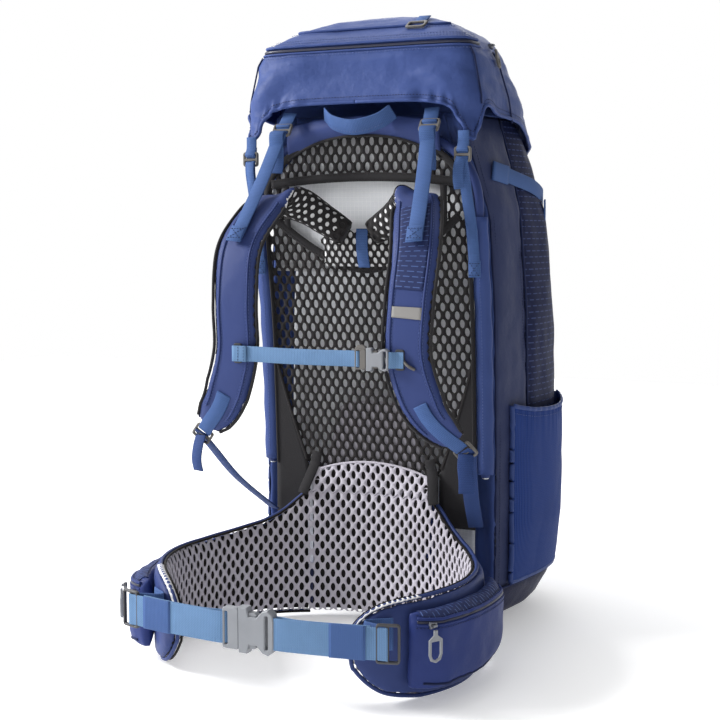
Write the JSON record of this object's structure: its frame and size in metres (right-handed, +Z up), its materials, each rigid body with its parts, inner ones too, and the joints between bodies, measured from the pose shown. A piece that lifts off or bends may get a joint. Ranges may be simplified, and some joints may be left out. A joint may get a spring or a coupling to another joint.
{
  "type": "travel backpack",
  "caption": "Framed trekking backpack with suspended mesh back, padded hip belt, sternum strap, zipped hip pockets and a hinged top lid.",
  "frame": {"origin": "middle of the flat base that the pack stands on", "axes": "+Z up; the harness and the hip belt face -Y; +X is the wearer's left"},
  "size_m": [0.4796, 0.6782, 0.837],
  "materials": {
    "pack_nylon": "woven, coated",
    "side_nylon": "woven ripstop with pale grid lines",
    "stretch_fabric": "ribbed stretch weave",
    "back_mesh_fabric": "open spacer mesh with oval holes",
    "belt_mesh_fabric": "spacer mesh with dark oval holes",
    "light_webbing": "ribbed webbing",
    "dark_webbing": "ribbed webbing",
    "pale_plastic": "moulded, satin",
    "taupe_plastic": "moulded, satin",
    "dark_plastic": "moulded, satin",
    "zip_metal": "satin",
    "frame_alloy": "drawn, satin"
  },
  "bodies": {
    "pack": {"back_panel": "side_nylon", "side_panel_left": "side_nylon", "side_panel_right": "side_nylon", "front_panel": "pack_nylon", "base_tray": "side_nylon", "collar": "pack_nylon", "side_pocket_left": "stretch_fabric", "side_pocket_right": "stretch_fabric", "front_pocket": "stretch_fabric", "frame_hoop": "frame_alloy", "frame_sleeve_left": "pack_nylon", "frame_sleeve_right": "pack_nylon", "back_mesh": "back_mesh_fabric", "yoke": "back_mesh_fabric", "shoulder_strap_left": "pack_nylon", "lower_webbing_left": "dark_webbing", "load_lifter_left": "light_webbing", "shoulder_strap_right": "pack_nylon", "lower_webbing_right": "dark_webbing", "load_lifter_right": "light_webbing", "lumbar_pad": "belt_mesh_fabric", "hip_wing_left": "belt_mesh_fabric", "hip_pocket_left": "pack_nylon", "hip_wing_right": "belt_mesh_fabric", "hip_pocket_right": "pack_nylon", "hip_buckle_female": "pale_plastic", "hip_webbing_left": "light_webbing", "lid_strap_left": "light_webbing", "lid_strap_right": "light_webbing", "front_buckle_female_left": "taupe_plastic", "front_buckle_female_right": "taupe_plastic"},
    "lid_body": {"lid": "pack_nylon"},
    "lid_zip_body": {"lid_zip_slider": "zip_metal"},
    "lid_zip_tab": {"lid_zip_pull": "taupe_plastic"},
    "lid_ring_body": {"lid_ring": "taupe_plastic"},
    "haul_loop_body": {"haul_loop": "light_webbing"},
    "lifter_lock_left_body": {"lifter_lock_left": "taupe_plastic"},
    "lid_lock_left_body": {"lid_lock_left": "taupe_plastic"},
    "strap_lock_left_body": {"strap_lock_left": "taupe_plastic"},
    "hip_glide_left_body": {"hip_glide_left": "dark_plastic"},
    "hip_zip_slider_left_body": {"hip_zip_slider_left": "zip_metal"},
    "hip_zip_pull_left_body": {"hip_zip_pull_left": "pale_plastic"},
    "front_buckle_male_left_body": {"front_buckle_male_left": "taupe_plastic"},
    "lifter_lock_right_body": {"lifter_lock_right": "taupe_plastic"},
    "lid_lock_right_body": {"lid_lock_right": "taupe_plastic"},
    "strap_lock_right_body": {"strap_lock_right": "taupe_plastic"},
    "hip_glide_right_body": {"hip_glide_right": "dark_plastic"},
    "hip_zip_slider_right_body": {"hip_zip_slider_right": "zip_metal"},
    "hip_zip_pull_right_body": {"hip_zip_pull_right": "pale_plastic"},
    "front_buckle_male_right_body": {"front_buckle_male_right": "taupe_plastic"},
    "hip_release_body": {"hip_buckle_male": "pale_plastic", "hip_webbing_right": "light_webbing"},
    "sternum_body": {"sternum_buckle_female": "pale_plastic", "sternum_clip_left": "dark_plastic", "sternum_clip_right": "dark_plastic"},
    "sternum_release_body": {"sternum_buckle_male": "taupe_plastic", "sternum_webbing": "light_webbing"},
    "cord_lock": {"cord_lock_body": "dark_plastic"},
    "cord_lock_plunger": {"cord_lock_button": "taupe_plastic"}
  },
  "joints": [
    {"name": "lid_hinge", "type": "hinge", "parent": "pack", "child": "lid_body", "pos_m": [0, -0.211, 0.665], "axis": [1, 0, 0], "range_deg": [0, 90]},
    {"name": "lid_zip_slide", "type": "slide", "parent": "lid_body", "child": "lid_zip_body", "axis": [0, 1, 0], "range_m": [-0.03, 0.012]},
    {"name": "lid_zip_tab_swing", "type": "hinge", "parent": "lid_zip_body", "child": "lid_zip_tab", "pos_m": [0.16092, -0.11502, 0.7855], "axis": [0, -1, 0], "range_deg": [0, 60]},
    {"name": "lid_ring_swing", "type": "hinge", "parent": "lid_body", "child": "lid_ring_body", "pos_m": [0.07, -0.1634, 0.81998], "axis": [-1, 0, 0], "range_deg": [0, 100]},
    {"name": "haul_loop_lift", "type": "hinge", "parent": "pack", "child": "haul_loop_body", "pos_m": [0, -0.2, 0.697], "axis": [-1, 0, 0], "range_deg": [0, 60]},
    {"name": "lifter_lock_left_tilt", "type": "hinge", "parent": "pack", "child": "lifter_lock_left_body", "pos_m": [0.107, -0.20962, 0.6877], "axis": [-1, 0, 0], "range_deg": [0, 20]},
    {"name": "lid_lock_left_tilt", "type": "hinge", "parent": "pack", "child": "lid_lock_left_body", "pos_m": [0.154, -0.217, 0.651], "axis": [-1, 0, 0], "range_deg": [0, 20]},
    {"name": "strap_lock_left_tilt", "type": "hinge", "parent": "pack", "child": "strap_lock_left_body", "pos_m": [0.18311, -0.2941, 0.28015], "axis": [-0.769, 0.1974, -0.6081], "range_deg": [0, 20]},
    {"name": "hip_glide_left_tilt", "type": "hinge", "parent": "pack", "child": "hip_glide_left_body", "pos_m": [0.172, -0.49, 0.085], "axis": [0, 0, 1], "range_deg": [-12, 12]},
    {"name": "hip_zip_run_left", "type": "hinge", "parent": "pack", "child": "hip_zip_slider_left_body", "pos_m": [0, -0.325, 0.1], "axis": [0, 0, 1], "range_deg": [0, 44]},
    {"name": "hip_zip_pull_left_swing", "type": "hinge", "parent": "hip_zip_slider_left_body", "child": "hip_zip_pull_left_body", "pos_m": [0.21386, -0.45097, 0.0955], "axis": [-0.5075, -0.8616, 0], "range_deg": [0, 75]},
    {"name": "front_buckle_release_left", "type": "slide", "parent": "lid_body", "child": "front_buckle_male_left_body", "axis": [0, 0.178, 0.984], "range_m": [0, 0.02]},
    {"name": "lifter_lock_right_tilt", "type": "hinge", "parent": "pack", "child": "lifter_lock_right_body", "pos_m": [-0.107, -0.20962, 0.6877], "axis": [-1, 0, 0], "range_deg": [0, 20]},
    {"name": "lid_lock_right_tilt", "type": "hinge", "parent": "pack", "child": "lid_lock_right_body", "pos_m": [-0.154, -0.217, 0.651], "axis": [-1, 0, 0], "range_deg": [0, 20]},
    {"name": "strap_lock_right_tilt", "type": "hinge", "parent": "pack", "child": "strap_lock_right_body", "pos_m": [-0.18311, -0.2941, 0.28015], "axis": [-0.769, -0.1974, 0.6081], "range_deg": [0, 20]},
    {"name": "hip_glide_right_tilt", "type": "hinge", "parent": "hip_release_body", "child": "hip_glide_right_body", "pos_m": [-0.172, -0.49, 0.085], "axis": [0, 0, 1], "range_deg": [-12, 12]},
    {"name": "hip_zip_run_right", "type": "hinge", "parent": "pack", "child": "hip_zip_slider_right_body", "pos_m": [0, -0.325, 0.1], "axis": [0, 0, 1], "range_deg": [-44, 0]},
    {"name": "hip_zip_pull_right_swing", "type": "hinge", "parent": "hip_zip_slider_right_body", "child": "hip_zip_pull_right_body", "pos_m": [-0.21386, -0.45097, 0.0955], "axis": [-0.5075, 0.8616, 0], "range_deg": [0, 75]},
    {"name": "front_buckle_release_right", "type": "slide", "parent": "lid_body", "child": "front_buckle_male_right_body", "axis": [0, 0.178, 0.984], "range_m": [0, 0.02]},
    {"name": "hip_buckle_release", "type": "slide", "parent": "pack", "child": "hip_release_body", "axis": [-1, 0, 0], "range_m": [0, 0.025]},
    {"name": "sternum_height", "type": "slide", "parent": "pack", "child": "sternum_body", "axis": [0, 0, 1], "range_m": [-0.025, 0.025]},
    {"name": "sternum_buckle_release", "type": "slide", "parent": "sternum_body", "child": "sternum_release_body", "axis": [-1, 0, 0], "range_m": [0, 0.018]},
    {"name": "cord_lock_slide", "type": "slide", "parent": "pack", "child": "cord_lock", "axis": [0, 1, 0], "range_m": [-0.012, 0.012]},
    {"name": "cord_lock_press", "type": "slide", "parent": "cord_lock", "child": "cord_lock_plunger", "axis": [0, 1, 0], "range_m": [0, 0.004], "stiffness_N_per_m": 300}
  ]
}
